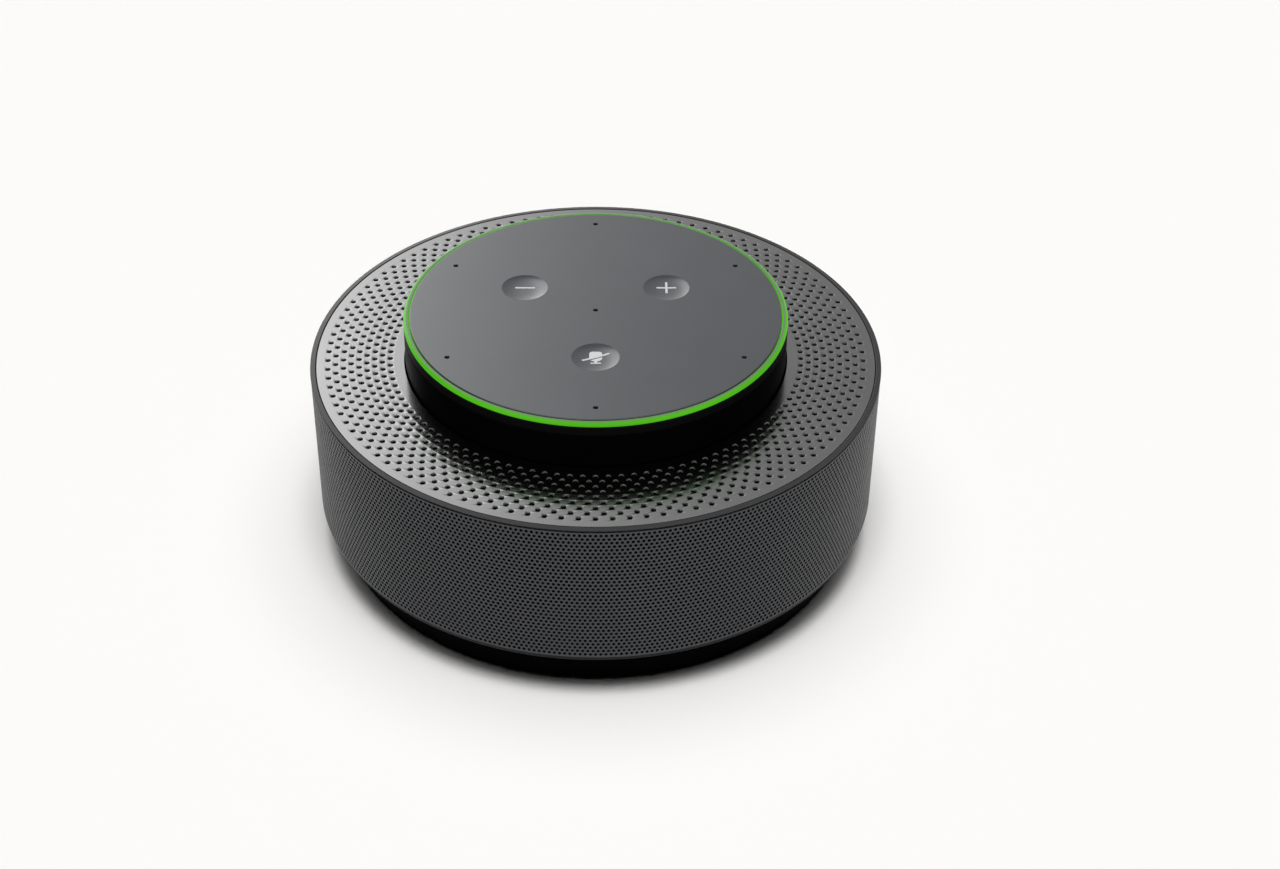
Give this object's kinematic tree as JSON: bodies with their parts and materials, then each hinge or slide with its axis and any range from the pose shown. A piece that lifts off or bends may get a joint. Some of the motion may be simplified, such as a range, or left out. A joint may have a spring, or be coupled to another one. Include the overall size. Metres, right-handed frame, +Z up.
{
  "type": "conference speakerphone",
  "caption": "Round table-top speakerphone with a perforated deck and side, a raised microphone pod with dished keys, and a lit ring around its top.",
  "frame": {"origin": "on the desk, under the middle of the round body", "axes": "+Z up, -Y towards the front with the microphone-mute key, +Y towards the back with the USB-C inlet, +X towards the volume-up key"},
  "size_m": [0.1472, 0.1472, 0.0652],
  "materials": {
    "base_plastic": "black, fine matt texture",
    "foot_rubber": "matt black rubber",
    "trim_plastic": "dark grey, satin",
    "circuit_board": "green solder mask",
    "socket_metal": "plain steel shell",
    "side_mesh_metal": "dark grey metallic, finely perforated",
    "black_cloth": "black acoustic cloth",
    "rim_plastic": "dark grey, satin",
    "deck_metal": "satin, perforated",
    "grey_cloth": "grey acoustic cloth",
    "frame_plastic": "black moulded",
    "ribbon_film": "amber film over copper",
    "box_plastic": "black moulded",
    "basket_steel": "black coated steel",
    "motor_steel": "zinc plated",
    "magnet_nickel": "nickel plated",
    "coil_copper": "enamelled copper wire",
    "cone_paper": "black pressed paper",
    "dust_cap_plastic": "black",
    "surround_rubber": "soft black rubber",
    "spider_cloth": "resin-treated cloth",
    "pod_gloss_plastic": "black, polished",
    "light_guide": "translucent, lit green from below",
    "top_plastic": "dark grey, satin",
    "key_plastic": "dark grey, satin, white symbols",
    "plunger_plastic": "off-white",
    "switch_plastic": "black moulded",
    "microphone_can": "stamped metal can",
    "led_package": "white package with clear top",
    "silicone_seal": "soft grey silicone",
    "screw_steel": "zinc plated"
  },
  "bodies": {
    "housing": {"base_cover": "base_plastic", "foot_ring": "foot_rubber", "base_trim_ring": "trim_plastic", "main_board": "circuit_board", "usb_c_socket": "socket_metal", "side_grille": "side_mesh_metal", "side_cloth": "black_cloth", "rim_ring": "rim_plastic", "deck_grille": "deck_metal", "deck_cloth": "grey_cloth", "grille_cage": "frame_plastic", "ribbon_cable": "ribbon_film", "speaker_box": "box_plastic", "baffle_plate": "box_plastic", "driver_basket": "basket_steel", "driver_pot": "motor_steel", "driver_magnet": "magnet_nickel", "driver_pole_cap": "motor_steel", "cone_surround": "surround_rubber", "coil_spider": "spider_cloth", "pod_housing": "pod_gloss_plastic", "pod_bezel": "pod_gloss_plastic", "light_ring": "light_guide", "top_disc": "top_plastic", "mic_board": "circuit_board", "mic_gasket": "silicone_seal", "switch_volume_up": "switch_plastic", "switch_volume_down": "switch_plastic", "switch_mic_mute": "switch_plastic", "microphone_0": "microphone_can", "microphone_1": "microphone_can", "microphone_2": "microphone_can", "microphone_3": "microphone_can", "microphone_4": "microphone_can", "microphone_5": "microphone_can", "microphone_6": "microphone_can", "ring_led_1": "led_package", "ring_led_2": "led_package", "ring_led_3": "led_package", "ring_led_4": "led_package", "ring_led_5": "led_package", "ring_led_6": "led_package", "base_screw_1": "screw_steel", "base_screw_2": "screw_steel", "base_screw_3": "screw_steel", "driver_screw_1": "screw_steel", "driver_screw_2": "screw_steel", "driver_screw_3": "screw_steel", "pod_screw_1": "screw_steel", "pod_screw_2": "screw_steel", "pod_screw_3": "screw_steel"},
    "cone_assembly": {"speaker_cone": "cone_paper", "dust_cap": "dust_cap_plastic", "voice_coil": "coil_copper"},
    "key_volume_up_body": {"key_volume_up": "key_plastic", "plunger_volume_up": "plunger_plastic"},
    "key_volume_down_body": {"key_volume_down": "key_plastic", "plunger_volume_down": "plunger_plastic"},
    "key_mic_mute_body": {"key_mic_mute": "key_plastic", "plunger_mic_mute": "plunger_plastic"}
  },
  "joints": [
    {"name": "volume_up_press", "type": "slide", "parent": "housing", "child": "key_volume_up_body", "axis": [0, 0, -1], "range_m": [0, 0.0005], "stiffness_N_per_m": 2400},
    {"name": "volume_down_press", "type": "slide", "parent": "housing", "child": "key_volume_down_body", "axis": [0, 0, -1], "range_m": [0, 0.0005], "stiffness_N_per_m": 2400},
    {"name": "mic_mute_press", "type": "slide", "parent": "housing", "child": "key_mic_mute_body", "axis": [0, 0, -1], "range_m": [0, 0.0005], "stiffness_N_per_m": 2400},
    {"name": "cone_travel", "type": "slide", "parent": "housing", "child": "cone_assembly", "axis": [0, 0, 1], "range_m": [-0.002, 0.002], "stiffness_N_per_m": 1600, "deforming": ["cone_surround", "coil_spider"]}
  ]
}
